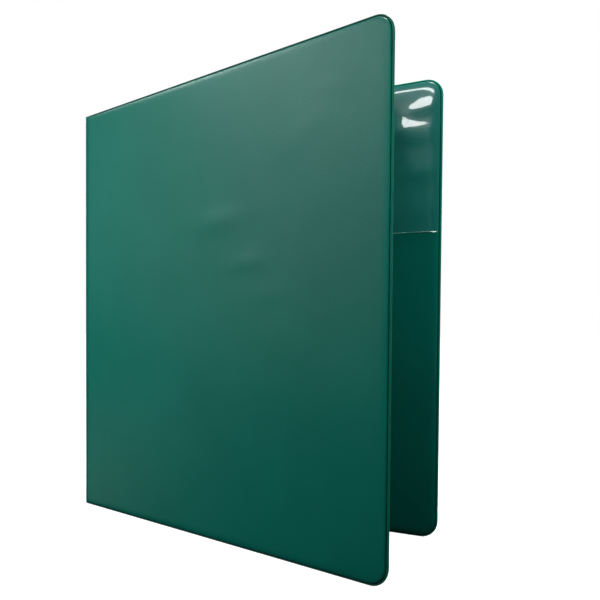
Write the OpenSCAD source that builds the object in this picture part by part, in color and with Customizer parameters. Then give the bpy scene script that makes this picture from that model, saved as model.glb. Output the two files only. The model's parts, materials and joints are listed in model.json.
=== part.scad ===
// Stamp album: a welded vinyl three-ring binder holding six stock leaves.
// The album stands on its lower edge with the front cover a little open.
// X runs from the spine to the fore edges, Y from the front cover to the back cover, Z up.

/* [Covers] */
// Height of the covers
cover_h = 292; // [250:1:320]
// Width of a cover, from its hinge line to its fore edge
cover_w = 260; // [240:1:290]
// Distance between the two hinge lines, across the spine
spine_w = 36; // [36:1:50]
// Angle that the front cover stands open at rest
open_deg = 12; // [12:0.5:20]
// Thickness of the stiff boards
board_t = 2.2; // [1.8:0.1:3]
// Thickness of each vinyl sheet
sheet_t = 0.4; // [0.3:0.05:0.5]
// Width of the weld that runs round the covers
weld_w = 2.6; // [2:0.1:4]
// Thickness of the weld
weld_t = 0.7; // [0.5:0.05:0.8]
// Radius of the fore corners
corner_r = 11; // [6:0.5:16]
// Half width of the flexible strip between spine and cover
hinge_half = 3; // [2.5:0.1:4]

/* [Inner pockets] */
// Thickness of the clear film
film_t = 0.2; // [0.15:0.05:0.3]
// Part of the height that the front pocket covers, from the top
front_pocket_part = 0.64; // [0.3:0.01:0.9]
// Part of the height that the back pocket covers, from the top
back_pocket_part = 0.33; // [0.3:0.01:0.9]

/* [Ring mechanism] */
// Inner diameter of the closed rings
ring_inner_d = 20; // [19:0.5:21]
// Diameter of the ring wire
wire_d = 3; // [2.6:0.1:3.2]
// Distance between rings
ring_pitch = 108; // [100:1:110]
// Length of the housing
housing_len = 250; // [246:1:256]
// Width of the housing
housing_w = 20; // [19.6:0.1:20.4]
// Height of the housing above the spine lining
housing_rise = 5.1; // [5.1:0.1:5.4]
// Thickness of the housing sheet
housing_t = 0.8; // [0.7:0.05:0.9]
// Angle that each half of the rings turns to open
ring_open_deg = 7; // [6:0.5:7.5]

/* [Leaves] */
// Width of a stock leaf
leaf_w = 213; // [180:1:216]
// Height of a stock leaf
leaf_h = 279; // [240:1:282]
// Thickness of the black card
card_t = 0.5; // [0.3:0.05:0.5]
// Thickness of the clear strips
strip_t = 0.15; // [0.1:0.05:0.15]
// Number of strips on each side of a leaf
strip_count = 5; // [3:1:7]
// Diameter of the punched holes
punch_d = 8; // [7.5:0.1:9]

/* [Hidden] */
$fn = 96;
LEAVES = 6;

// Colours
vinyl_green = [0.12, 0.36, 0.31];
liner_green = [0.05, 0.26, 0.22];
board_grey = [0.55, 0.52, 0.47];
film_clear = [0.75, 0.82, 0.82, 0.4];
nickel = [0.78, 0.78, 0.8];
steel = [0.62, 0.63, 0.65];
card_black = [0.06, 0.06, 0.07];

// Panels: a cover or the spine is a board between two sheets
panel_t = board_t + 2 * sheet_t;
face = panel_t / 2;
mid_z = cover_h / 2;
spine_half = spine_w / 2 - hinge_half;
web_t = 0.8;
web_end = 0.6;

// Ring mechanism, measured from the spine lining
ring_r = (ring_inner_d + wire_d) / 2;
ring_x = face + ring_r;
wire_end_deg = 145;
tip_gap_deg = 0.25;
crown_x = face + housing_rise;
crown_rise = 2.1;
crown_r = (pow(housing_w / 2, 2) + pow(crown_rise, 2)) / (2 * crown_rise);
lip_in = 2;
lip_t = 0.6;
blade_t = 1;
blade_tilt = ring_open_deg / 2;
blade_pivot = [face + 1.9, housing_w / 2 - 1.1];
blade_inner = 0.12;
blade_outer = housing_w / 2 - 0.95;
blade_half_len = 119.2;
foot_y = 6.4;
foot_r = 2.1;
foot_x = face + 0.8;
foot_len = 3.1;
foot_slot_half = 1.3;
notch_r = 2.7;

// Rivets through the spine
rivet_z = 94;
rivet_r = 2.1;
rivet_hole_r = rivet_r + 0.1;
rivet_head_r = 5;
rivet_head_h = 1.8;
rivet_collar_r = 3;
rivet_collar_gap = 0.25;
rivet_peen_r = 3.2;
rivet_peen_h = 0.9;
blade_relief_r = 3.7;

// Levers at the ends of the housing
lever_pivot_x = face + 1.5;
lever_pivot_z = 122;
lever_pin_r = 0.8;
lever_fit = 0.05;
lever_hub_r = 1.4;
lever_hub_w = 15.2;
lever_arm_w = 13;
lever_nose_w = 3;
lever_nose = [[-1.35, -3.4], [-0.8, -3.4], [-0.8, 0], [-1.35, 0]];
lever_arm = [[-0.6, 0], [0.6, 0], [1.9, 5.2], [5.6, 12.5], [6.4, 15.8], [5.3, 16.2], [4.5, 13], [0.7, 5.8]];
lever_tip_z = 16.2;
lever_tip_r = 6.5;

// Leaves: fan angles at rest, and their planes side by side round the ring axis
leaf_fan = [-9.2, -6.6, -4, -2.2, -1.4, -0.6];
leaf_pitch = 1;
binding_margin = 10;
leaf_corner_r = 4;
strip_from = 20;
strip_edge = 3;
strip_gap = 6;
strip_first = 9;

// Origin: the middle of the resting album's lowest face
x_low = -face - rivet_head_h;
x_high = cover_w;
y_low = -spine_w / 2 - (cover_w - weld_w) * sin(open_deg) - face * cos(open_deg);
y_high = spine_w / 2 + face;
origin_x = (x_low + x_high) / 2;
origin_y = (y_low + y_high) / 2;

function leaf_offset(i) = (i - (LEAVES - 1) / 2) * leaf_pitch;
function hole_u(i) = sqrt(pow(ring_r, 2) - pow(leaf_offset(i), 2));

// ---------- placing ----------

module placed() {
    translate([-origin_x, -origin_y, 0]) children();
}

// A panel is drawn with its width along X and its outside towards -Y
module as_spine() {
    placed() rotate([0, 0, -90]) children();
}

module as_front() {
    placed() translate([0, -spine_w / 2, 0]) rotate([0, 0, -open_deg]) children();
}

module as_back() {
    placed() translate([0, spine_w / 2, 0]) mirror([0, 1, 0]) children();
}

module as_leaf(i) {
    placed() translate([ring_x, 0, 0]) rotate([0, 0, leaf_fan[i]])
        translate([hole_u(i) - binding_margin, leaf_offset(i), 0]) children();
}

// Stands a flat outline up between two depths
module slab(from, to) {
    translate([0, to, 0]) rotate([90, 0, 0]) linear_extrude(to - from) children();
}

// ---------- outlines ----------

// A rectangle whose two fore corners are round
module fore_rounded(x0, x1, z0, z1, r) {
    translate([x0, z0]) square([x1 - r - x0, z1 - z0]);
    translate([x0, z0 + r]) square([x1 - x0, z1 - z0 - 2 * r]);
    translate([x1 - r, z0 + r]) circle(r);
    translate([x1 - r, z1 - r]) circle(r);
}

// A cover's outline, set in from its free edges and from its hinge side
module cover_outline(inset, hinge_inset) {
    fore_rounded(hinge_half + hinge_inset, cover_w - inset, inset, cover_h - inset, corner_r - inset);
}

module spine_outline(inset, side_inset) {
    translate([-spine_half + side_inset, inset])
        square([2 * (spine_half - side_inset), cover_h - 2 * inset]);
}

// ---------- covers ----------

// One welded sheet: its face, the walls round the board and its half of the weld
module cover_sheet() {
    slab(-face, -face + sheet_t) cover_outline(weld_w, 0);
    slab(-face, 0) difference() {
        cover_outline(weld_w, 0);
        cover_outline(weld_w + sheet_t, sheet_t);
    }
    slab(-weld_t / 2, 0) difference() {
        cover_outline(0, 0);
        cover_outline(weld_w + sheet_t, sheet_t);
    }
}

module cover_board() {
    slab(-board_t / 2, board_t / 2) cover_outline(weld_w + sheet_t, sheet_t);
}

// A film over the upper part of the lining, open along its lower edge
module cover_pocket(part) {
    slab(face, face + film_t) intersection() {
        cover_outline(weld_w, sheet_t);
        translate([0, cover_h * (1 - part)]) square([cover_w, cover_h * part]);
    }
}

module front_vinyl() {
    color(vinyl_green) as_front() cover_sheet();
}

module front_liner() {
    color(liner_green) as_front() mirror([0, 1, 0]) cover_sheet();
}

module front_board() {
    color(board_grey) as_front() cover_board();
}

module front_pocket() {
    color(film_clear) as_front() cover_pocket(front_pocket_part);
}

module back_vinyl() {
    color(vinyl_green) as_back() cover_sheet();
}

module back_liner() {
    color(liner_green) as_back() mirror([0, 1, 0]) cover_sheet();
}

module back_board() {
    color(board_grey) as_back() cover_board();
}

module back_pocket() {
    color(film_clear) as_back() cover_pocket(back_pocket_part);
}

// ---------- spine ----------

module rivet_holes(r) {
    for (z = [-rivet_z, rivet_z])
        translate([0, 0, mid_z + z]) rotate([90, 0, 0]) cylinder(r = r, h = 30, center = true);
}

module spine_sheet() {
    difference() {
        union() {
            slab(-face, -face + sheet_t) spine_outline(weld_w, 0);
            slab(-face, 0) difference() {
                spine_outline(weld_w, 0);
                spine_outline(weld_w + sheet_t, sheet_t);
            }
            slab(-weld_t / 2, 0) difference() {
                spine_outline(0, 0);
                spine_outline(weld_w + sheet_t, sheet_t);
            }
        }
        rivet_holes(rivet_hole_r);
    }
}

module spine_vinyl() {
    color(vinyl_green) as_spine() spine_sheet();
}

module spine_liner() {
    color(liner_green) as_spine() mirror([0, 1, 0]) spine_sheet();
}

module spine_board() {
    color(board_grey) as_spine() difference() {
        slab(-board_t / 2, board_t / 2) spine_outline(weld_w + sheet_t, sheet_t);
        rivet_holes(rivet_hole_r);
    }
}

// The strip of welded sheet that bends between the spine and a cover
module hinge_web(cover_dir) {
    translate([0, 0, web_end]) linear_extrude(cover_h - 2 * web_end) {
        circle(web_t / 2);
        rotate(cover_dir) translate([0, -web_t / 2]) square([hinge_half, web_t]);
        rotate(90) translate([0, -web_t / 2]) square([hinge_half, web_t]);
    }
}

module front_hinge_web() {
    color(vinyl_green) placed() translate([0, -spine_w / 2, 0]) hinge_web(-open_deg);
}

module back_hinge_web() {
    color(vinyl_green) placed() translate([0, spine_w / 2, 0]) mirror([0, 1, 0]) hinge_web(0);
}

// ---------- ring mechanism ----------

module crown_2d(r, half_w) {
    intersection() {
        translate([crown_x - crown_r, 0]) circle(r);
        translate([face, -half_w]) square([2 * housing_rise, 2 * half_w]);
    }
}

module housing_2d() {
    difference() {
        crown_2d(crown_r, housing_w / 2);
        difference() {
            crown_2d(crown_r - housing_t, housing_w / 2 - housing_t);
            for (side = [0, 1])
                mirror([0, side]) translate([face, housing_w / 2 - lip_in]) square([lip_t, lip_in]);
        }
    }
}

// The cut that lets a ring out through the side of the housing
module ring_notch(side) {
    mirror([0, side, 0]) translate([face - 1, foot_y, 0]) {
        rotate([0, 90, 0]) cylinder(r = notch_r, h = 2 * housing_rise);
        translate([0, 0, -notch_r]) cube([2 * housing_rise, housing_w, 2 * notch_r]);
    }
}

module ring_housing() {
    color(nickel) placed() difference() {
        translate([0, 0, mid_z - housing_len / 2]) linear_extrude(housing_len) housing_2d();
        for (z = [-ring_pitch, 0, ring_pitch])
            for (side = [0, 1])
                translate([0, 0, mid_z + z]) ring_notch(side);
        for (z = [-rivet_z, rivet_z])
            translate([0, 0, mid_z + z]) rotate([0, 90, 0]) cylinder(r = rivet_hole_r, h = 20);
        for (z = [-lever_pivot_z, lever_pivot_z])
            translate([lever_pivot_x, 0, mid_z + z]) rotate([90, 0, 0])
                cylinder(r = lever_pin_r, h = 2 * housing_w, center = true);
    }
}

module rivet(z) {
    dome_r = (pow(rivet_head_r, 2) + pow(rivet_head_h, 2)) / (2 * rivet_head_h);
    color(nickel) placed() translate([0, 0, mid_z + z]) rotate([0, 90, 0]) {
        translate([0, 0, -face]) intersection() {
            translate([0, 0, dome_r - rivet_head_h]) sphere(dome_r);
            translate([0, 0, -rivet_head_h]) cylinder(r = 2 * rivet_head_r, h = rivet_head_h);
        }
        translate([0, 0, -face - 0.2]) cylinder(r = rivet_r, h = crown_x + face + 0.4);
        translate([0, 0, face]) cylinder(r = rivet_collar_r, h = housing_rise - housing_t - rivet_collar_gap);
        translate([0, 0, crown_x]) cylinder(r1 = rivet_peen_r, r2 = rivet_peen_r - 0.7, h = rivet_peen_h);
    }
}

module rivet_top() {
    rivet(rivet_z);
}

module rivet_bottom() {
    rivet(-rivet_z);
}

// One blade, drawn flat with its outer edge in the housing's rim, then tilted to its closed angle.
// Each foot hole is open towards the outer edge, where the ring's wire passes over it.
module blade(side) {
    color(steel) placed() mirror([0, side, 0]) difference() {
        translate(blade_pivot) rotate([0, 0, -blade_tilt]) translate(-blade_pivot)
            translate([blade_pivot[0] - blade_t / 2, blade_inner, mid_z - blade_half_len])
                cube([blade_t, blade_outer - blade_inner, 2 * blade_half_len]);
        for (z = [-ring_pitch, 0, ring_pitch])
            translate([0, foot_y, mid_z + z]) {
                rotate([0, 90, 0]) cylinder(r = foot_r, h = 20);
                translate([0, 0, -foot_slot_half]) cube([20, housing_w, 2 * foot_slot_half]);
            }
        for (z = [-rivet_z, rivet_z])
            translate([0, 0, mid_z + z]) rotate([0, 90, 0]) cylinder(r = blade_relief_r, h = 20);
    }
}

module blade_front() {
    blade(1);
}

module blade_back() {
    blade(0);
}

// Half a ring: the bent wire and the foot that is riveted into its blade
module half_ring(side, z) {
    color(nickel) placed() mirror([0, side, 0]) translate([0, 0, mid_z + z]) {
        translate([ring_x, 0, 0]) rotate([0, 0, tip_gap_deg])
            rotate_extrude(angle = wire_end_deg - tip_gap_deg) translate([ring_r, 0]) circle(wire_d / 2);
        translate([foot_x, foot_y, 0]) rotate([0, 90, 0]) cylinder(r = foot_r, h = foot_len);
    }
}

module ring_front_top() {
    half_ring(1, ring_pitch);
}

module ring_front_middle() {
    half_ring(1, 0);
}

module ring_front_bottom() {
    half_ring(1, -ring_pitch);
}

module ring_back_top() {
    half_ring(0, ring_pitch);
}

module ring_back_middle() {
    half_ring(0, 0);
}

module ring_back_bottom() {
    half_ring(0, -ring_pitch);
}

// ---------- levers ----------

// Extrudes an outline given as [x, z] points across the housing
module across(width) {
    rotate([90, 0, 0]) translate([0, 0, -width / 2]) linear_extrude(width) children();
}

// Drawn for the top end: z runs away from the middle of the housing
module lever() {
    difference() {
        union() {
            across(lever_hub_w) circle(lever_hub_r);
            across(lever_nose_w) polygon(lever_nose);
            intersection() {
                across(lever_arm_w) polygon(lever_arm);
                union() {
                    translate([-5, -lever_arm_w / 2, -1])
                        cube([15, lever_arm_w, lever_tip_z - lever_tip_r + 1]);
                    translate([-5, 0, lever_tip_z - lever_tip_r]) rotate([0, 90, 0])
                        cylinder(r = lever_tip_r, h = 15);
                }
            }
        }
        rotate([90, 0, 0]) cylinder(r = lever_pin_r + lever_fit, h = 2 * lever_hub_w, center = true);
    }
}

module at_lever(end) {
    placed() translate([lever_pivot_x, 0, mid_z]) mirror([0, 0, end])
        translate([0, 0, lever_pivot_z]) children();
}

module lever_top() {
    color(nickel) at_lever(0) lever();
}

module lever_bottom() {
    color(nickel) at_lever(1) lever();
}

module lever_pin() {
    rotate([90, 0, 0]) cylinder(r = lever_pin_r, h = housing_w + 0.8, center = true);
}

module lever_pin_top() {
    color(steel) at_lever(0) lever_pin();
}

module lever_pin_bottom() {
    color(steel) at_lever(1) lever_pin();
}

// ---------- leaves ----------

module leaf(i) {
    low = mid_z - leaf_h / 2;
    color(card_black) as_leaf(i) difference() {
        slab(-card_t / 2, card_t / 2) fore_rounded(0, leaf_w, low, low + leaf_h, leaf_corner_r);
        for (z = [-ring_pitch, 0, ring_pitch])
            translate([binding_margin, 0, mid_z + z]) rotate([90, 0, 0])
                cylinder(d = punch_d, h = 10, center = true);
    }
}

module leaf_strips(i) {
    pitch = (leaf_h - 2 * strip_first + strip_gap) / strip_count;
    low = mid_z - leaf_h / 2 + strip_first;
    color(film_clear) as_leaf(i)
        for (side = [0, 1])
            mirror([0, side, 0])
                for (k = [0:strip_count - 1])
                    translate([strip_from, card_t / 2, low + k * pitch])
                        cube([leaf_w - strip_from - strip_edge, strip_t, pitch - strip_gap]);
}

spine_board();
spine_vinyl();
spine_liner();
front_hinge_web();
back_hinge_web();
ring_housing();
rivet_top();
rivet_bottom();
lever_pin_top();
lever_pin_bottom();
front_board();
front_vinyl();
front_liner();
front_pocket();
back_board();
back_vinyl();
back_liner();
back_pocket();
blade_front();
ring_front_top();
ring_front_middle();
ring_front_bottom();
blade_back();
ring_back_top();
ring_back_middle();
ring_back_bottom();
lever_top();
lever_bottom();
for (i = [0:LEAVES - 1]) {
    leaf(i);
    leaf_strips(i);
}
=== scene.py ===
"""Looks of the stamp album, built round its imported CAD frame. Every length is in metres."""

import json
import math
import random

import bmesh
import bpy
import numpy as np
from mathutils import Matrix, Vector


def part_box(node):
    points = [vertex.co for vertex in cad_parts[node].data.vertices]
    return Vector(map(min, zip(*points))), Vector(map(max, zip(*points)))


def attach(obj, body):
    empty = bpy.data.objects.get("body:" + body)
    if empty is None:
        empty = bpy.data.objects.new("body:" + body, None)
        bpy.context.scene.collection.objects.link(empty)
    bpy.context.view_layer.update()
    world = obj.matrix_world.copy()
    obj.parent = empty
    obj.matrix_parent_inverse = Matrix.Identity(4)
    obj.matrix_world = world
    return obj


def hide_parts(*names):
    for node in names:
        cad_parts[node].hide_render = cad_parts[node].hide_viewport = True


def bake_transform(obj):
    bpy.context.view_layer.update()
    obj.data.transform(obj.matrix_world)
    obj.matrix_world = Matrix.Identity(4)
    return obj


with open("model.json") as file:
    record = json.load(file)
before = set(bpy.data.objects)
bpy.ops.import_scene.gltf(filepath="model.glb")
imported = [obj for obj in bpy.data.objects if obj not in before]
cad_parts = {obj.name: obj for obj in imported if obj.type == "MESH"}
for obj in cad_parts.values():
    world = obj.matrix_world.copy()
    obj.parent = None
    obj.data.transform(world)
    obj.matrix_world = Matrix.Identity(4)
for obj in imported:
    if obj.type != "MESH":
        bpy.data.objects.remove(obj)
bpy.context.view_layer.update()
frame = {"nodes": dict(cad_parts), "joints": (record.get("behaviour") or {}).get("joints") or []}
MM = 0.001

# ---------- sizes, from the frame ----------

joints = {j["name"]: j for j in frame["joints"]}
FRONT_AXIS = np.array(joints["front_cover_hinge"]["pos_m"][:2])
BACK_AXIS = np.array(joints["back_cover_hinge"]["pos_m"][:2])
OPEN_ANGLE = math.radians(-joints["front_cover_hinge"]["range_deg"][0])
vinyl_low, vinyl_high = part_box("back_vinyl")
COVER_H = vinyl_high.z
COVER_W = vinyl_high.x - BACK_AXIS[0]
HINGE_HALF = vinyl_low.x - BACK_AXIS[0]
FACE = vinyl_high.y - BACK_AXIS[1]
SPINE_W = BACK_AXIS[1] - FRONT_AXIS[1]
SPINE_HALF = SPINE_W / 2 - HINGE_HALF
BACK_FILM_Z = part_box("back_pocket")[0].z
FRONT_FILM_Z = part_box("front_pocket")[0].z
RIVET_ZS = [sum(corner.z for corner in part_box(node)) / 2 for node in ("rivet_top", "rivet_bottom")]

# ---------- sizes of the vinyl work ----------

CORNER_R = 11 * MM
SHEET_T = 0.4 * MM
THIN = 0.04 * MM  # the least thickness of a sheet where it is pressed
SAME_POINT = 0.01 * MM  # points closer than this are one
BOARD_FACE = FACE - SHEET_T
BORDER = 14 * MM  # how far in from a cover's edge the rows that follow its corners reach
NEAR_CORNER = 8 * MM
CORNER_COLUMNS = 9

# Insets of the rows along an edge: close together over the weld, then wider
EDGE_ROWS = [
    v * MM
    for v in (0, 0.06, 0.15, 0.3, 0.5, 0.75, 1, 1.25, 1.5, 1.7, 1.85, 2, 2.12, 2.24, 2.36, 2.5)
    + (2.65, 2.82, 3, 3.2, 3.45, 3.8, 4.3, 5, 6.2, 8, 10.5)
]

# The weld's section, in mm in from the edge and mm above the middle plane, before its scale
EDGE_ROUND = 0.3
EDGE_LEAST = 0.06  # keeps the very edge from being infinitely thin
FLANGE_HALF = 0.36
BEAD_AT, BEAD_WIDTH, BEAD_RISE = 0.9, 0.6, 0.1
GROOVE_AT, GROOVE_WIDTH, GROOVE_DEPTH = 2.1, 0.28, 0.3
GROOVE_SHADE_WIDTH = 0.32  # of the painted shade line in the groove
FLANGE_FADE = 0.4  # width over which the flange's colour goes out in the groove
END_FLANGE_SHADE = 0.6  # how far the flange takes the groove's painted shade along the upper and lower edges
WELD_END = 2.4

# The rise from the weld to the board's face: half round the board's corner, half over a soft shoulder
CORNER_WIDTH = 1.5
CORNER_SHARE = 0.5
SHOULDER_WIDTH = 5.5

# Where a sheet's hidden side leaves the middle plane and goes up the board's side
INSIDE_LIFT_AT, INSIDE_LIFT_WIDTH = 2.5 * MM, 0.5 * MM

# How far in from the edge a loose sheet's rises begin, and over what width they come in
SLACK_AT, SLACK_FADE = 3 * MM, 9 * MM

# How much narrower than that section the weld is: along the fore edge, and along the other edges
FORE_WELD_SCALE = 1.4
END_WELD_SCALE = 1.9


def smoothstep(x):
    t = np.clip(x, 0, 1)
    return t * t * (3 - 2 * t)


def bell(x, width):
    return np.exp(-((x / width) ** 2))


# ---------- panels ----------

class Panel:
    """A flat panel in plan: u runs along it, v is its depth with the outside below zero, and z is up."""

    def __init__(self, origin, along, inward):
        self.origin = np.array(origin, float)
        self.along = np.array(along, float)
        self.inward = np.array(inward, float)

    def points(self, u, v, z):
        xy = self.origin + np.outer(u, self.along) + np.outer(v, self.inward)
        return np.column_stack([xy, z])


OPEN_COS, OPEN_SIN = math.cos(OPEN_ANGLE), math.sin(OPEN_ANGLE)
FRONT = Panel(FRONT_AXIS, (OPEN_COS, -OPEN_SIN), (OPEN_SIN, OPEN_COS))
BACK = Panel(BACK_AXIS, (1, 0), (0, -1))
SPINE = Panel((FRONT_AXIS + BACK_AXIS) / 2, (0, 1), (1, 0))

# ---------- mesh helpers ----------


def mesh_object(name, verts, faces, material, smooth=True, marks=None):
    """marks gives named values to the first points of the mesh; the rest have none of them."""
    mesh = bpy.data.meshes.new(name)
    mesh.from_pydata([tuple(v) for v in verts], [], [tuple(int(i) for i in f) for f in faces])
    for mark, given in (marks or {}).items():
        values = np.zeros(len(verts))
        values[:len(given)] = given
        mesh.attributes.new(mark, "FLOAT", "POINT").data.foreach_set("value", values)
    work = bmesh.new()
    work.from_mesh(mesh)
    bmesh.ops.recalc_face_normals(work, faces=work.faces)
    work.to_mesh(mesh)
    work.free()
    mesh.validate()
    if smooth:
        mesh.shade_smooth()
    obj = bpy.data.objects.new(name, mesh)
    bpy.context.scene.collection.objects.link(obj)
    obj.data.materials.append(material)
    return obj


def grid_faces(index):
    """Quads over a 2D array of vertex numbers."""
    a, b, c, d = index[:-1, :-1], index[1:, :-1], index[1:, 1:], index[:-1, 1:]
    return np.stack([a, b, c, d], -1).reshape(-1, 4).tolist()


def closed_sheet(upper, lower, faces):
    """Vertices and faces of a thin solid between two surfaces that share one layout."""
    n = len(upper)
    used = {}
    for f in faces:
        for a, b in zip(f, f[1:] + f[:1]):
            used[(a, b)] = True
    rim = [(a, b) for a, b in used if (b, a) not in used]
    both = [list(f) for f in faces] + [[i + n for i in reversed(f)] for f in faces]
    both += [[b, a, a + n, b + n] for a, b in rim]
    return np.vstack([upper, lower]), both


def stations(start, end, step):
    count = max(1, int(round((end - start) / step)))
    return list(np.linspace(start, end, count + 1))


def corner_half(inset, from_a, corner_a):
    """Points (a, b) of one side, from from_a to the middle of its round corner.

    a runs along the side and b is the inset."""
    r = max(CORNER_R - inset, 0)
    straight = corner_a - inset - r - from_a
    length = straight + r * math.pi / 4
    out = []
    for k in range(1, CORNER_COLUMNS + 1):
        s = length * k / CORNER_COLUMNS
        if s <= straight or r == 0:
            out.append((from_a + s, inset))
        else:
            turn = (s - straight) / r
            out.append((corner_a - inset - r + r * math.sin(turn), inset + r - r * math.cos(turn)))
    return out


def cover_layout(u_start, z_start, step, rows, low_corner=True):
    """(u, z, inset, faces) of a sheet shaped as a cover.

    It has a grid inside, and rows round it that follow the round corners."""
    u_near = COVER_W - BORDER - NEAR_CORNER
    z_near = COVER_H - BORDER - NEAR_CORNER
    us = stations(u_start, u_near, step)
    us_all = us + list(np.linspace(u_near, COVER_W - BORDER, CORNER_COLUMNS + 1)[1:])
    z_low = BORDER + NEAR_CORNER if low_corner else z_start
    zs = stations(z_low, z_near, step)
    zs_all = zs + list(np.linspace(z_near, COVER_H - BORDER, CORNER_COLUMNS + 1)[1:])
    if low_corner:
        zs_all = list(np.linspace(BORDER, z_low, CORNER_COLUMNS + 1)[:-1]) + zs_all
    n, m = len(us_all), len(zs_all)
    u, z = [list(v.ravel()) for v in np.meshgrid(us_all, zs_all, indexing="ij")]
    inset = [BORDER] * len(u)
    index = np.arange(n * m).reshape(n, m)
    faces = grid_faces(index)
    border = [index[i, 0] for i in range(n - 1)] if low_corner else []
    border += [index[n - 1, j] for j in range(m)]
    border += [index[i, m - 1] for i in range(n - 2, -1, -1)]
    for d in sorted((r for r in rows if r < BORDER), reverse=True):
        line = []
        if low_corner:
            low_u = corner_half(d, u_near, COVER_W)
            low_fore = corner_half(d, COVER_H - z_low, COVER_H)
            line += [(x, d) for x in us] + low_u
            line += [(COVER_W - b, COVER_H - a) for a, b in reversed(low_fore[:-1])]
        line += [(COVER_W - d, y) for y in zs]
        line += [(COVER_W - b, a) for a, b in corner_half(d, z_near, COVER_H)]
        line += [(a, COVER_H - b) for a, b in reversed(corner_half(d, u_near, COVER_W)[:-1])]
        line += [(x, COVER_H - d) for x in reversed(us)]
        first = len(u)
        u += [p[0] for p in line]
        z += [p[1] for p in line]
        inset += [d] * len(line)
        row = np.arange(first, first + len(line))
        faces += grid_faces(np.array([row, border]).T)
        border = list(row)
    return np.array(u), np.array(z), np.array(inset), faces


# ---------- the weld and the faces ----------

def weld_profile(inset, scale=1):
    """Height of a sheet's outside above the middle plane: round edge, low bead, pressed line, board.

    The scale narrows the weld and the rise round the board's corner, but not the soft shoulder."""
    d = inset * scale / MM
    in_edge = np.clip(d / EDGE_ROUND, 0, 1)
    flange = FLANGE_HALF * np.sqrt(np.clip(1 - (1 - in_edge) ** 2, EDGE_LEAST, 1))
    flange = flange + BEAD_RISE * bell(d - BEAD_AT, BEAD_WIDTH)
    low = flange - GROOVE_DEPTH * bell(d - GROOVE_AT, GROOVE_WIDTH)
    corner = np.clip((d - WELD_END) / CORNER_WIDTH, 0, 1)
    shoulder = np.clip((inset / MM - WELD_END / scale) / SHOULDER_WIDTH, 0, 1)
    board = CORNER_SHARE * np.sqrt(1 - (1 - corner) ** 2)
    board = board + (1 - CORNER_SHARE) * (1 - (1 - shoulder) ** 3)
    return (low + (FACE / MM - low) * board) * MM


def weld_marks(weld_at, at_end):
    """How deep in the pressed line a place is, and whether it is on the flange outside it: 0 to 1 each.

    The vinyl's colour uses both; the first paints shade into the groove. Where at_end is 1, the narrow
    flange gets part of that painted shade too."""
    seam = bell(weld_at / MM - GROOVE_AT, GROOVE_SHADE_WIDTH)
    outside = smoothstep(0.5 + (GROOVE_AT - weld_at / MM) / FLANGE_FADE)
    return {"seam": np.maximum(seam, END_FLANGE_SHADE * outside * at_end), "flange": outside * (1 - at_end)}


def weld_scale(u, z):
    """The weld is narrower along the upper and lower edges than along the fore edge."""
    to_fore = COVER_W - u
    to_end = np.minimum(z, COVER_H - z)
    nearer_end = smoothstep(0.5 + (to_fore - to_end) / (2 * CORNER_R))
    return FORE_WELD_SCALE + (END_WELD_SCALE - FORE_WELD_SCALE) * nearer_end


def weld_inside(inset):
    """Height of a sheet's hidden side: on the middle plane in the weld, on the board inside it."""
    return BOARD_FACE * smoothstep((inset - INSIDE_LIFT_AT) / INSIDE_LIFT_WIDTH)


def bulges(u, z, places):
    """Smooth rises of a loose sheet. Each place is middle u and z, half sizes, lean in degrees and rise.

    All but the lean are in mm."""
    out = np.zeros_like(u)
    for cu, cz, wide, tall, lean, rise in places:
        a = math.radians(lean)
        x = (u - cu * MM) * math.cos(a) + (z - cz * MM) * math.sin(a)
        y = -(u - cu * MM) * math.sin(a) + (z - cz * MM) * math.cos(a)
        out += rise * MM * bell(x, wide * MM) * bell(y, tall * MM)
    return out


def cover_sheet(name, panel, side, material, step, relief=None):
    """One welded sheet of a cover. side is -1 outside and 1 for the lining.

    Along the upper and lower edges only the outside sheet's flange gets the pressed line's painted shade."""
    u, z, inset, faces = cover_layout(HINGE_HALF, 0, step, EDGE_ROWS)
    scale = weld_scale(u, z)
    weld_at = inset * scale
    height = weld_profile(inset, scale)
    if relief is not None:
        height = height + relief(u, z) * smoothstep((inset - SLACK_AT) / SLACK_FADE)
    upper = panel.points(u, side * height, z)
    lower = panel.points(u, side * np.minimum(weld_inside(inset), height - THIN), z)
    verts, faces = closed_sheet(upper, lower, faces)
    # at_end: where the outside sheet's narrow flange gets painted shade along the upper and lower edges
    end_share = (scale - FORE_WELD_SCALE) / (END_WELD_SCALE - FORE_WELD_SCALE)
    at_end = end_share if side < 0 else 0
    return mesh_object(name, verts, faces, material, marks=weld_marks(weld_at, at_end))


# ---------- materials ----------

def nodes_of(name):
    """A new material, its node tree and its shader."""
    mat = bpy.data.materials.new(name)
    mat.use_nodes = True
    tree = mat.node_tree
    shader = tree.nodes["Principled BSDF"]
    return mat, tree, shader


def noise(tree, scale, detail=3, roughness=0.5, stretch=(1, 1, 1), kind="ShaderNodeTexNoise"):
    """A noise texture in the object's own space. A stretch below 1 draws it out along that axis."""
    place = tree.nodes.new("ShaderNodeMapping")
    place.inputs["Scale"].default_value = stretch
    source = tree.nodes.new("ShaderNodeTexCoord")
    tree.links.new(source.outputs["Object"], place.inputs["Vector"])
    tex = tree.nodes.new(kind)
    tex.inputs["Scale"].default_value = scale
    if kind == "ShaderNodeTexNoise":
        tex.inputs["Detail"].default_value = detail
        tex.inputs["Roughness"].default_value = roughness
    tree.links.new(place.outputs["Vector"], tex.inputs["Vector"])
    return tex


def ramp(tree, value, low, high, low_at=0.3, high_at=0.7):
    """A straight run from low, where value is low_at, to high, where it is high_at."""
    node = tree.nodes.new("ShaderNodeMapRange")
    node.inputs["From Min"].default_value = low_at
    node.inputs["From Max"].default_value = high_at
    node.inputs["To Min"].default_value = low
    node.inputs["To Max"].default_value = high
    tree.links.new(value, node.inputs["Value"])
    return node.outputs["Result"]


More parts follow.
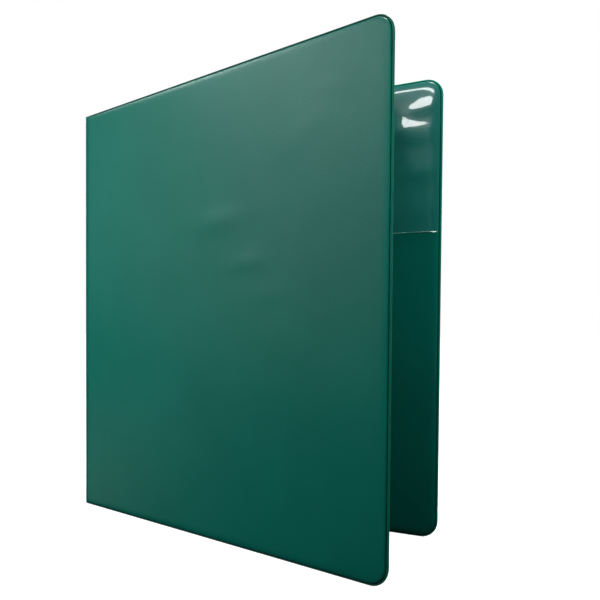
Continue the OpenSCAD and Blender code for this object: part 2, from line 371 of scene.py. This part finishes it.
def colour_mix(tree, value, first, second, low_at=0.3, high_at=0.7):
    """The first colour where value is low_at or less, the second where it is high_at or more."""
    node = tree.nodes.new("ShaderNodeValToRGB")
    node.color_ramp.elements[0].position = low_at
    node.color_ramp.elements[1].position = high_at
    node.color_ramp.elements[0].color = (*first, 1)
    node.color_ramp.elements[1].color = (*second, 1)
    tree.links.new(value, node.inputs["Fac"])
    return node.outputs["Color"]


def bump(tree, shader, layers):
    """Stacks height layers (value, strength, depth) into one normal."""
    normal = None
    for value, strength, depth in layers:
        node = tree.nodes.new("ShaderNodeBump")
        node.inputs["Strength"].default_value = strength
        node.inputs["Distance"].default_value = depth
        tree.links.new(value, node.inputs["Height"])
        if normal:
            tree.links.new(normal, node.inputs["Normal"])
        normal = node.outputs["Normal"]
    tree.links.new(normal, shader.inputs["Normal"])


FLANGE_BLUE = 0.85  # the flange's blue against its green
FLANGE_DULL = 0.6  # how much of the pressed line's dullness the flange has
FULLY_DULL = 0.85  # the mark at which all shine is gone
GROOVE_SHADE_COLOUR = 0.05  # painted shade of the pressed line, as a share of the dark colour


def attribute(tree, mark):
    """A named value of the mesh's points, written by mesh_object."""
    node = tree.nodes.new("ShaderNodeAttribute")
    node.attribute_name = mark
    return node.outputs["Fac"]


def blended(tree, share, first, second):
    """The first colour where share is 0 and the second where it is 1. The second is a plain colour."""
    node = tree.nodes.new("ShaderNodeMix")
    node.data_type = "RGBA"
    tree.links.new(share, node.inputs["Factor"])
    tree.links.new(first, node.inputs["A"])
    node.inputs["B"].default_value = (*second, 1)
    return node.outputs["Result"]


def vinyl(name, dark, light, rough, grain, specular, flange_tint_and_painted_light):
    """Calendered vinyl: a fine pebbled grain, slight mottling and an uneven satin finish.

    The flange outside a weld takes a tint of the light colour; a tint above 1 is painted light on the
    flange.
    The pressed line is painted nearly black: painted shade in the groove. Both are duller than the face."""
    mat, tree, shader = nodes_of(name)
    seam = attribute(tree, "seam")
    flange = attribute(tree, "flange")
    broad = noise(tree, 16, 4, 0.55)
    face_colour = colour_mix(tree, broad.outputs["Fac"], dark, light)
    # A flange tint above 1, as on the lining, is painted light: the flange lighter than the face.
    flange_colour = (light[0], flange_tint_and_painted_light * light[1], FLANGE_BLUE * flange_tint_and_painted_light * light[2])
    welded = blended(tree, flange, face_colour, flange_colour)
    # Painted shade: the pressed line, and on the outside sheet the flange along the upper and lower
    # edges, darkened nearly to black.
    pressed = blended(tree, seam, welded, [GROOVE_SHADE_COLOUR * c for c in dark])
    tree.links.new(pressed, shader.inputs["Base Color"])
    dull = tree.nodes.new("ShaderNodeMath")
    dull.operation = "MULTIPLY_ADD"
    tree.links.new(flange, dull.inputs[0])
    dull.inputs[1].default_value = FLANGE_DULL
    tree.links.new(seam, dull.inputs[2])
    shine = ramp(tree, dull.outputs["Value"], specular, 0, 0, FULLY_DULL)
    tree.links.new(shine, shader.inputs["Specular IOR Level"])
    haze = noise(tree, 45, 4, 0.6)
    tree.links.new(ramp(tree, haze.outputs["Fac"], *rough), shader.inputs["Roughness"])
    pebbles = noise(tree, 1500, kind="ShaderNodeTexVoronoi")
    fine = noise(tree, 3200, 2, 0.6)
    slack = noise(tree, 60, 2, 0.5)
    bump(tree, shader, [
        (slack.outputs["Fac"], 0.25, 0.25 * MM),
        (pebbles.outputs["Distance"], grain, 0.05 * MM),
        (fine.outputs["Fac"], grain * 0.6, 0.03 * MM),
    ])
    return mat


def clear_film(name, tint, alpha, roughness):
    """Thin clear film with a hard gloss. Its tint, mixed in by the alpha, carries the painted light given
    for each film below.
    """
    mat, tree, shader = nodes_of(name)
    shader.inputs["Base Color"].default_value = (*tint, 1)
    shader.inputs["Alpha"].default_value = alpha
    shader.inputs["IOR"].default_value = 2
    shader.inputs["Coat Weight"].default_value = 1
    shader.inputs["Coat IOR"].default_value = 2.3
    shader.inputs["Coat Roughness"].default_value = roughness
    haze = noise(tree, 120, 3, 0.5)
    tree.links.new(ramp(tree, haze.outputs["Fac"], 0.24, 0.32), shader.inputs["Roughness"])
    ripple = noise(tree, 150, 2, 0.4)
    crinkle = noise(tree, 900, 3, 0.6)
    bump(tree, shader, [
        (ripple.outputs["Fac"], 0.25, 0.15 * MM),
        (crinkle.outputs["Fac"], 0.6, 0.03 * MM),
    ])
    return mat


def plated(name, colour, rough, stretch):
    """Plated steel: fine drawing lines and a slightly uneven, clouded polish."""
    mat, tree, shader = nodes_of(name)
    shader.inputs["Metallic"].default_value = 0.7
    cloud = noise(tree, 90, 4, 0.6)
    darker = tuple(0.82 * c for c in colour)
    tree.links.new(colour_mix(tree, cloud.outputs["Fac"], darker, colour), shader.inputs["Base Color"])
    lines = noise(tree, 900, 3, 0.6, stretch)
    tree.links.new(ramp(tree, lines.outputs["Fac"], *rough), shader.inputs["Roughness"])
    bump(tree, shader, [(lines.outputs["Fac"], 0.12, 0.03 * MM)])
    return mat


def card(name, dark, light, roughness):
    """Card or board: felted fibres and no shine."""
    mat, tree, shader = nodes_of(name)
    fibres = noise(tree, 700, 5, 0.7, (1, 1, 0.35))
    tree.links.new(colour_mix(tree, fibres.outputs["Fac"], dark, light), shader.inputs["Base Color"])
    shader.inputs["Roughness"].default_value = roughness
    shader.inputs["Specular IOR Level"].default_value = 0.25
    bump(tree, shader, [(fibres.outputs["Fac"], 0.35, 0.05 * MM)])
    return mat


GREEN = vinyl(
    "green_vinyl",
    dark=(0.001, 0.102, 0.076),
    light=(0.002, 0.116, 0.087),
    rough=(0.31, 0.37),
    grain=0.9,
    specular=0.25,
    flange_tint_and_painted_light=0.85,
)
LINING = vinyl(
    "lining_vinyl",
    dark=(0.001, 0.09, 0.068),
    light=(0.001, 0.1, 0.076),
    rough=(0.34, 0.4),
    grain=0.35,
    specular=0.1,
    # Painted light: the lining's flange is painted half as light again as its face colour.
    flange_tint_and_painted_light=1.5,
)
# Painted light: the pocket film's green tint, lighter than the lining, lightens what shows through it.
FILM = clear_film("pocket_film", tint=(0.012, 0.21, 0.18), alpha=0.35, roughness=0.04)
# Partly painted highlight: the free edge's light green stands for light caught in its cut edge, which its
# thick shape also catches from the lamps.
FILM_EDGE = clear_film("film_edge", tint=(0.05, 0.24, 0.2), alpha=0.7, roughness=0.35)
# Painted sheen: the strips' pale grey over the black leaves stands for their reflections.
STRIP_FILM = clear_film("strip_film", tint=(0.2, 0.21, 0.22), alpha=0.22, roughness=0.05)
NICKEL = plated("nickel_plate", (0.78, 0.78, 0.79), rough=(0.2, 0.32), stretch=(1, 1, 0.15))
STEEL = plated("plain_steel", (0.55, 0.55, 0.56), rough=(0.28, 0.42), stretch=(1, 1, 0.08))
BLACK_CARD = card("black_card", dark=(0.009, 0.009, 0.01), light=(0.02, 0.02, 0.022), roughness=0.8)
GREY_BOARD = card("grey_board", dark=(0.2, 0.185, 0.16), light=(0.32, 0.3, 0.26), roughness=0.9)


# ---------- CAD nodes that stay ----------


def finish_node(name, material):
    """Gives a CAD node its material."""
    slots = frame["nodes"][name].data.materials
    slots.clear()
    slots.append(material)


for node_name in frame["nodes"]:
    if node_name.endswith("_board"):
        finish_node(node_name, GREY_BOARD)
    elif node_name.startswith("blade") or "_pin_" in node_name:
        finish_node(node_name, STEEL)
    elif node_name.startswith("leaf") and not node_name.endswith("_strips"):
        finish_node(node_name, BLACK_CARD)
    else:
        finish_node(node_name, NICKEL)

# ---------- covers ----------

# Where the facing sheet lies loose over its board, as for bulges()
FACING_SLACK = [
    (139, 199, 20, 7, 2, 1.2),
    (163, 172.5, 14, 5, 5, 0.85),
    (180, 153, 12, 5, 0, 0.5),
    (224, 262, 12, 5, -12, 0.25),
    (205, 242, 18, 8, 30, 0.3),
    (212, 42, 26, 5, -55, 0.35),
    (224, 30, 20, 4, -62, 0.3),
    (12, 240, 4, 60, 0, 0.16),
    (19, 60, 4, 45, 0, 0.12),
    (60, 120, 40, 25, 20, 0.2),
]


def facing_relief(u, z):
    """Slack in the facing sheet: shallow rises where it lies loose over the board."""
    return bulges(u, z, FACING_SLACK)


def fit(part, node, body):
    """Puts a finished piece in the place of its CAD node, to move with that node's body."""
    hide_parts(node)
    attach(part, body)


FACING_STEP = 3 * MM
OTHER_STEP = 5 * MM
fit(
    cover_sheet("front_cover_skin", FRONT, -1, GREEN, FACING_STEP, facing_relief),
    "front_vinyl", "front_cover",
)
fit(
    cover_sheet("front_cover_lining", FRONT, 1, LINING, OTHER_STEP),
    "front_liner", "front_cover",
)
fit(
    cover_sheet("back_cover_skin", BACK, -1, GREEN, OTHER_STEP),
    "back_vinyl", "back_cover",
)
fit(
    cover_sheet("back_cover_lining", BACK, 1, LINING, OTHER_STEP),
    "back_liner", "back_cover",
)

# ---------- clear pockets ----------

FILM_T = 0.12 * MM
FILM_OVER_WELD = 0.05 * MM
FILM_OVER_LINING = 0.3 * MM
FILM_WELD_END = 2.6 * MM
FILM_FADE = 12 * MM  # over which a film's waves or its wandering edge come in or go out
FILM_STEP = 1.6 * MM
FILM_START = HINGE_HALF + 1 * MM
EDGE_R = 0.22 * MM  # of the thick line along a film's free edge
EDGE_FLAT = 0.6  # its depth against its height
EDGE_SIDES = 8

# Folds of a loose film, as for bulges(): the first four are near the closed top corner
FILM_FOLDS = [
    (248, 273.4, 10, 4.5, 6, 0.62),
    (232, 260.8, 34, 8.2, -6, 1.3),
    (246, 233, 14, 5, 4, 0.4),
    (250, 210, 12, 8, 12, 0.4),
    (205, 262, 14, 6, 20, 0.7),
    (170, 240, 20, 7, -15, 0.6),
    (120, 255, 25, 6, 5, 0.6),
    (60, 235, 20, 9, 30, 0.7),
    (95, 215, 30, 6, -10, 0.5),
]
FILM_ROWS = [v * MM for v in (1.9, 2.1, 2.4, 2.7, 3, 3.4, 4, 5, 6.5, 8.5, 11)]


def film_waves(u, z, low):
    """Gap between film and lining: its folds, and slight slack everywhere."""
    across = (u - 0.5 * COVER_W) / MM
    up = (z - low) / MM
    level_waves = 0.08 * np.sin(up / 6.1 + 0.8 * np.sin(across / 17))
    leaning_waves = 0.04 * np.sin(across / 9 - up / 14)
    return FILM_OVER_LINING + (level_waves + leaning_waves) * MM + bulges(u, z, FILM_FOLDS)


def edge_wander(u, z, low):
    """The free edge is cut by hand, so it wanders a little."""
    wander = 0.3 * np.sin(u / (11 * MM)) + 0.15 * np.sin(u / (4.3 * MM) + 1)
    return wander * MM * (1 - smoothstep((z - low) / FILM_FADE))


def film_height(u, z, inset, low, u_start):
    """Height of a film above the middle plane: tight at the weld and on its hinge side, else loose."""
    scale = weld_scale(u, z)
    off_weld = smoothstep((inset * scale - FILM_WELD_END) / SLACK_FADE)
    off_start = smoothstep((u - u_start) / FILM_FADE)
    return weld_profile(inset, scale) + FILM_OVER_WELD + film_waves(u, z, low) * off_weld * off_start


def pocket(name, panel, low, u_start):
    """A film welded to the lining on three sides, and the thick line of its free lower edge."""
    u, z, inset, faces = cover_layout(u_start, low, FILM_STEP, FILM_ROWS, low_corner=False)
    height = film_height(u, z, inset, low, u_start)
    z = z + edge_wander(u, z, low)
    upper = panel.points(u, height + FILM_T, z)
    lower = panel.points(u, height, z)
    verts, faces = closed_sheet(upper, lower, faces)
    film = mesh_object(name, verts, faces, FILM)
    return film, free_edge(name + "_edge", panel, low, u_start)


def free_edge(name, panel, low, u_start):
    """The thick, slightly flattened line along a film's lower edge, closed at both ends."""
    us = np.array(stations(u_start, COVER_W - FILM_ROWS[0], FILM_STEP))
    turns = np.linspace(0, 2 * math.pi, EDGE_SIDES + 1)[:-1]
    u, turn = [v.ravel() for v in np.meshgrid(us, turns, indexing="ij")]
    at_low = np.full_like(u, low)
    z = low + edge_wander(u, at_low, low) + EDGE_R * np.sin(turn)
    v = film_height(u, at_low, COVER_W - u, low, u_start) + EDGE_R * (1 + EDGE_FLAT * np.cos(turn))
    index = np.arange(len(u)).reshape(len(us), len(turns))
    faces = grid_faces(np.column_stack([index, index[:, :1]]))
    faces += [index[0].tolist(), index[-1][::-1].tolist()]
    return mesh_object(name, panel.points(u, v, z), faces, FILM_EDGE)


for side, panel, low in (("back", BACK, BACK_FILM_Z), ("front", FRONT, FRONT_FILM_Z)):
    for part in pocket(f"{side}_pocket_film", panel, low, FILM_START):
        fit(part, f"{side}_pocket", f"{side}_cover")

# ---------- spine ----------

SPINE_STEP = 1.5 * MM
RIVET_PULL, RIVET_REACH = 0.22 * MM, 7 * MM
UPPER_ROWS = [COVER_H - d for d in reversed(EDGE_ROWS)]
EDGE_ZS = EDGE_ROWS + stations(BORDER, COVER_H - BORDER, 6 * MM) + UPPER_ROWS


def edge_inset(z):
    return np.minimum(z, COVER_H - z)


def spine_sheet(name, side, material):
    """One sheet of the spine, drawn in a little round each rivet."""
    ys = stations(-SPINE_HALF, SPINE_HALF, SPINE_STEP)
    near_rivets = [zr + k * SPINE_STEP for zr in RIVET_ZS for k in range(-8, 9)]
    zs = sorted(set(EDGE_ZS + near_rivets))
    zs = [z for i, z in enumerate(zs) if i == 0 or z - zs[i - 1] > SAME_POINT]
    u, z = [v.ravel() for v in np.meshgrid(ys, zs, indexing="ij")]
    faces = grid_faces(np.arange(len(u)).reshape(len(ys), len(zs)))
    height = weld_profile(edge_inset(z), END_WELD_SCALE)
    for zr in RIVET_ZS:
        height = height - RIVET_PULL * bell(np.hypot(u, z - zr), RIVET_REACH)
    upper = SPINE.points(u, side * height, z)
    lower = SPINE.points(u, side * np.minimum(weld_inside(edge_inset(z)), height - THIN), z)
    verts, faces = closed_sheet(upper, lower, faces)
    return mesh_object(name, verts, faces, material)


fit(spine_sheet("spine_skin", -1, GREEN), "spine_vinyl", "spine")
fit(spine_sheet("spine_lining", 1, LINING), "spine_liner", "spine")

# ---------- hinge strips ----------

WEB_HALF = 0.42 * MM
WEB_INSIDE = 0.3  # the hidden side's share of the outside's height
WEB_COLUMNS = 25
FOLD_R = 0.9 * MM
SHOULDER_AT = 1.1 * MM


def fold_line(axis, spine_dir, cover_dir, along):
    """Plan points and directions of the welded middle, from the spine round the hinge line to a cover."""
    points, ways = [], []
    for s in along:
        if s < -FOLD_R:
            points.append(axis + spine_dir * s)
            ways.append(spine_dir)
        elif s > FOLD_R:
            points.append(axis + cover_dir * s)
            ways.append(cover_dir)
        else:
            t = (s + FOLD_R) / (2 * FOLD_R)
            points.append(axis + FOLD_R * (t * t * cover_dir - (1 - t) ** 2 * spine_dir))
            way = t * cover_dir + (1 - t) * spine_dir
            ways.append(way / np.linalg.norm(way))
    return np.array(points), np.array(ways)


def hinge_sheet(name, cover, side, material, spine_end):
    """The sheet round a hinge line, and its two ends in plan.

    It is pressed thin at the line, and rises over a board's edge on each side."""
    spine_dir = SPINE.along * spine_end
    axis = SPINE.origin + spine_dir * SPINE_W / 2
    along = np.linspace(-HINGE_HALF, HINGE_HALF, WEB_COLUMNS)
    points, ways = fold_line(axis, spine_dir, cover.along, along)
    outward = spine_end * np.column_stack([-ways[:, 1], ways[:, 0]])
    zs = np.array(EDGE_ZS)
    full = weld_profile(edge_inset(zs), END_WELD_SCALE)
    shoulder = np.clip((np.abs(along) - SHOULDER_AT) / (HINGE_HALF - SHOULDER_AT), 0, 1)
    shoulder = np.sqrt(1 - (1 - shoulder) ** 2)
    thin = np.minimum(full, WEB_HALF)
    height = thin[None, :] + (full - thin)[None, :] * shoulder[:, None]

    def surface(h):
        plan = points[:, None, :] - side * outward[:, None, :] * h[:, :, None]
        up = np.broadcast_to(zs[None, :, None], h.shape + (1,))
        return np.concatenate([plan, up], 2).reshape(-1, 3)

    faces = grid_faces(np.arange(height.size).reshape(height.shape))
    verts, faces = closed_sheet(surface(height), surface(WEB_INSIDE * height), faces)
    return mesh_object(name, verts, faces, material), points[0], points[-1]


WEB_LAYERS = (("skin", -1, GREEN, "cover_vinyl"), ("lining", 1, LINING, "lining"))
for label, cover, spine_end in (("front", FRONT, -1), ("back", BACK, 1)):
    for layer, side, material, slot in WEB_LAYERS:
        strip, start, end = hinge_sheet(f"{label}_hinge_{layer}", cover, side, material, spine_end)
        if layer == "skin":
            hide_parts(f"{label}_hinge_web")
        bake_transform(strip)

# ---------- clear strips on the leaves ----------

random.seed(7)
LEAF_COUNT = sum(name.startswith("leaf") and name.endswith("_strips") for name in frame["nodes"])
STRIP_COLUMNS, STRIP_ROWS = 25, 9
STRIP_T = 0.1 * MM
STRIP_SUNK = 0.06 * MM  # how far a strip's foot starts below the middle of its CAD strip
STRIP_BOW = (0.12 * MM, 0.24 * MM)  # how far a strip's top stands open, least and most
STRIP_SKEW = 0.15
SEAM_RISE = 0.05 * MM


def strip_boxes(node):
    """Corner points of each separate strip of a CAD node."""
    work = bmesh.new()
    work.from_mesh(frame["nodes"][node].data)
    bmesh.ops.remove_doubles(work, verts=work.verts, dist=SAME_POINT)
    taken, found = set(), []
    for first in work.verts:
        group, stack = [], [] if first in taken else [first]
        taken.add(first)
        while stack:
            v = stack.pop()
            group.append(v.co.copy())
            for e in v.link_edges:
                w = e.other_vert(v)
                if w not in taken:
                    taken.add(w)
                    stack.append(w)
        if group:
            found.append(group)
    work.free()
    return found


def strip_run(corners):
    """Where a strip starts and ends in plan, its direction there, and its lowest and highest z."""
    co = np.array([tuple(c) for c in corners])
    low, high = co[:, 2].min(), co[:, 2].max()
    foot = co[co[:, 2] < low + SAME_POINT][:, :2]
    far = foot[np.argsort(foot[:, 0])]
    start, end = far[:2].mean(0), far[-2:].mean(0)
    along = (end - start) / np.linalg.norm(end - start)
    return start, end, along, low, high


def bowed_strip(corners, leaf_middle):
    """One clear strip: welded to the leaf along its foot and ends, and a little open along its top."""
    start, end, along, low, high = strip_run(corners)
    out = np.array([-along[1], along[0]])
    if np.dot((start + end) / 2 - leaf_middle, out) < 0:
        out = -out
    bow = random.uniform(*STRIP_BOW)
    skew = random.uniform(-STRIP_SKEW, STRIP_SKEW)
    a, b = np.meshgrid(np.linspace(0, 1, STRIP_COLUMNS), np.linspace(0, 1, STRIP_ROWS), indexing="ij")
    a, b = a.ravel(), b.ravel()
    off_ends = np.clip(4 * a * (1 - a), 0, 1) ** 0.7
    lift = bow * off_ends * b ** 1.5 * (1 + skew * np.sin(9 * a))
    foot_seam = bell(b - 0.03, 0.02)
    end_seams = bell(np.minimum(a, 1 - a) - 0.006, 0.004)
    seam = SEAM_RISE * np.maximum(foot_seam, end_seams)
    base = start + np.outer(a, end - start) - out * STRIP_SUNK
    z = low + (high - low) * b
    upper = np.column_stack([base + np.outer(lift + seam + STRIP_T, out), z])
    lower = np.column_stack([base + np.outer(lift, out), z])
    index = np.arange(STRIP_COLUMNS * STRIP_ROWS).reshape(STRIP_COLUMNS, STRIP_ROWS)
    return closed_sheet(upper, lower, grid_faces(index))


def leaf_film(i):
    """All the clear strips of one leaf, as one piece."""
    node = f"leaf_{i}_strips"
    leaf = np.array([v.co for v in frame["nodes"][f"leaf_{i}"].data.vertices])
    verts, faces = [], []
    for corners in strip_boxes(node):
        more, quads = bowed_strip(corners, leaf.mean(0)[:2])
        first = sum(len(v) for v in verts)
        verts.append(more)
        faces += [[k + first for k in f] for f in quads]
    film = mesh_object(f"leaf_{i}_clear_strips", np.vstack(verts), faces, STRIP_FILM)
    fit(film, node, f"leaf_{i}")


for leaf_number in range(1, LEAF_COUNT + 1):
    leaf_film(leaf_number)

# ---------- stage ----------

FLOOR_HALF = 40
WALL_WAY = (0.1, 0.94, 0.33)
CAMERA_PLACE = (0.2113, -0.3409, 0.1299)
CAMERA_TURN, CAMERA_DOWN, CAMERA_ROLL = 24.7, 1.41, 0.45
CAMERA_LENS, CAMERA_SENSOR, CAMERA_SHIFT = 36.3, 36, 0.082


def area_light(name, place, target, size, power, lights="both"):
    """A soft box. lights says what it adds: its reflection ("gloss"), its light ("diffuse") or both."""
    data = bpy.data.lights.new(name, "AREA")
    data.shape = "RECTANGLE"
    data.size, data.size_y = size
    data.energy = power
    obj = bpy.data.objects.new(name, data)
    obj.location = place
    obj.rotation_euler = (Vector(target) - Vector(place)).to_track_quat("-Z", "Y").to_euler()
    obj.visible_glossy = lights != "diffuse"
    obj.visible_diffuse = lights != "gloss"
    bpy.context.scene.collection.objects.link(obj)


def make_lights():
    """Soft boxes round the album: name, place, target, size, watts, and what it adds.

    The sheens are seen only as reflections, mostly from the left. floor_sheen stands for the floor's own
    reflection: it is under the floor, which casts no shadow. The fills only light surfaces."""
    face = (0, -0.03, 0.15)
    low_face = (-0.05, 0, 0.08)
    top_edge = (-0.03, -0.01, 0.28)
    rings = (-0.11, 0.027, 0.2)
    middle = (0, 0, COVER_H / 2)
    area_light("key_sheen", (-0.52, -0.55, 0.67), face, (0.3, 0.3), 1.5, "gloss")
    area_light("high_sheen", (-0.6, -0.4, 0.53), (0, -0.03, 0.2), (0.2, 0.2), 0.06, "gloss")
    area_light("edge_sheen", (-0.51, -0.29, 0.88), top_edge, (0.2, 0.12), 1.15, "gloss")
    area_light("rim_sheen", (-0.63, -0.175, 0.786), top_edge, (0.15, 0.1), 1.6, "gloss")
    area_light("left_sheen", (-0.83, -0.33, 0.34), face, (0.3, 0.3), 0.13, "gloss")
    area_light("floor_sheen", (-0.55, -0.15, -0.08), low_face, (0.3, 0.2), 0.09, "gloss")
    area_light("low_sheen", (-0.6, -0.28, 0.03), low_face, (0.25, 0.2), 0.012, "gloss")
    area_light("film_glint", (-0.045, -0.62, 0.66), (0.12, 0.04, 0.27), (0.42, 0.08), 0.82, "gloss")
    area_light("left_fill", (-0.3, -0.3, 0.26), (-0.05, 0, 0.16), (0.3, 0.3), 1.98, "diffuse")
    area_light("top_fill", (0.02, -0.3, 0.38), (0.02, -0.03, 0.18), (0.2, 0.2), 0.52, "diffuse")
    area_light("right_fill", (0.3, -0.1, 0.27), (0.14, 0.04, 0.19), (0.06, 0.04), 0.46, "diffuse")
    area_light("right_low_fill", (0.36, -0.1, 0.06), (0.14, 0.04, 0.06), (0.06, 0.06), 0.06, "diffuse")
    area_light("inner_fill", (0.16, 0.022, 0.62), rings, (0.12, 0.03), 3.4)
    area_light("back_left", (-0.7, 0.6, 0.6), middle, (0.5, 0.5), 4)
    area_light("back_right", (0.6, 0.9, 0.6), middle, (0.6, 0.5), 5, "diffuse")


def make_floor():
    """A pale floor that gets brighter away from the album, up to white. Only the camera sees it."""
    mat, tree, shader = nodes_of("pale_floor")
    shader.inputs["Base Color"].default_value = (0.5, 0.5, 0.5, 1)
    shader.inputs["Roughness"].default_value = 0.9
    shader.inputs["Specular IOR Level"].default_value = 0.1
    shader.inputs["Emission Color"].default_value = (1, 1, 1, 1)
    source = tree.nodes.new("ShaderNodeTexCoord")
    reach = tree.nodes.new("ShaderNodeVectorMath")
    reach.operation = "LENGTH"
    tree.links.new(source.outputs["Object"], reach.inputs[0])
    glow = ramp(tree, reach.outputs["Value"], 0.7, 1.02, 0.25, 1.1)
    tree.links.new(glow, shader.inputs["Emission Strength"])
    half = FLOOR_HALF
    verts = [(-half, -half, 0), (half, -half, 0), (half, half, 0), (-half, half, 0)]
    floor = mesh_object("floor", verts, [(0, 1, 2, 3)], mat, smooth=False)
    floor.visible_glossy = False
    floor.visible_diffuse = False
    floor.visible_shadow = False


def make_world():
    """White where the camera sees it. For the rest, a dark room with one pale wall behind the album."""
    world = bpy.data.worlds.new("studio")
    bpy.context.scene.world = world
    world.use_nodes = True
    tree = world.node_tree
    back = tree.nodes["Background"]
    back.inputs["Color"].default_value = (0.92, 0.96, 1, 1)
    way = tree.nodes.new("ShaderNodeTexCoord")
    toward = tree.nodes.new("ShaderNodeVectorMath")
    toward.operation = "DOT_PRODUCT"
    toward.inputs[1].default_value = WALL_WAY
    tree.links.new(way.outputs["Generated"], toward.inputs[0])
    wall = ramp(tree, toward.outputs["Value"], 0.01, 0.6, 0.15, 0.75)
    tree.links.new(wall, back.inputs["Strength"])
    seen = tree.nodes.new("ShaderNodeBackground")
    seen.inputs["Color"].default_value = (1, 1, 1, 1)
    path = tree.nodes.new("ShaderNodeLightPath")
    mix = tree.nodes.new("ShaderNodeMixShader")
    tree.links.new(path.outputs["Is Camera Ray"], mix.inputs["Fac"])
    tree.links.new(back.outputs["Background"], mix.inputs[1])
    tree.links.new(seen.outputs["Background"], mix.inputs[2])
    tree.links.new(mix.outputs["Shader"], tree.nodes["World Output"].inputs["Surface"])


def make_camera():
    """A close, level view from the fore-edge side of the front cover."""
    data = bpy.data.cameras.new("camera")
    data.lens = CAMERA_LENS
    data.sensor_width = CAMERA_SENSOR
    data.shift_y = CAMERA_SHIFT
    data.clip_start = 0.01
    obj = bpy.data.objects.new("camera", data)
    turn = Matrix.Rotation(math.radians(CAMERA_TURN), 4, "Z")
    tilt = Matrix.Rotation(math.radians(90 - CAMERA_DOWN), 4, "X")
    roll = Matrix.Rotation(math.radians(CAMERA_ROLL), 4, "Z")
    obj.matrix_world = Matrix.Translation(CAMERA_PLACE) @ turn @ tilt @ roll
    bpy.context.scene.collection.objects.link(obj)
    bpy.context.scene.camera = obj


make_camera()
make_world()
make_floor()
make_lights()
bpy.context.scene.view_settings.view_transform = "Standard"
